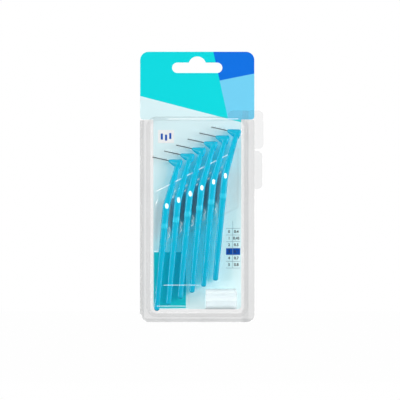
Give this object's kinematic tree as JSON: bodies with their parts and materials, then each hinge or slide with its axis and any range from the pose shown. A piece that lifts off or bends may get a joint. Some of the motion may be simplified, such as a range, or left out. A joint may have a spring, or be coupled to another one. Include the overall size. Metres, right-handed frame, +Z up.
{
  "type": "interdental brush hang pack",
  "caption": "Hang pack of angled interdental brushes: printed card with a euro slot, clear hinged case with opening tabs, brushes with twisted wire cores, and a protective cap.",
  "frame": {"origin": "centre of the hang slot's straight part, on the plane where the two halves of the case meet", "axes": "+X to the right as seen from the front, +Z up along the pack, the front faces -Y"},
  "size_m": [0.0788, 0.0112, 0.1723],
  "materials": {
    "card": "printed coated board",
    "clear_sheet": "clear thermoformed sheet",
    "cap": "clear moulded plastic",
    "handle": "moulded plastic, satin to gloss",
    "wire": "twisted wire",
    "filament": "fine nylon filament"
  },
  "bodies": {
    "card": {"header_card": "card"},
    "back": {"back_panel": "clear_sheet"},
    "tray": {"front_tray": "clear_sheet", "protective_cap": "cap", "handle_1": "handle", "handle_2": "handle", "handle_3": "handle", "handle_4": "handle", "handle_5": "handle", "handle_6": "handle", "wire_1": "wire", "wire_2": "wire", "wire_3": "wire", "wire_4": "wire", "wire_5": "wire", "wire_6": "wire", "bristles_1": "filament", "bristles_2": "filament", "bristles_3": "filament", "bristles_4": "filament", "bristles_5": "filament", "bristles_6": "filament"}
  },
  "joints": [
    {"name": "case_slide", "type": "slide", "parent": "card", "child": "back", "axis": [0, 0, -1], "range_m": [0, 0.125]},
    {"name": "case_hinge", "type": "hinge", "parent": "back", "child": "tray", "pos_m": [-0.0358, 0.00005, -0.095], "axis": [0, 0, -1], "range_deg": [0, 170]}
  ]
}
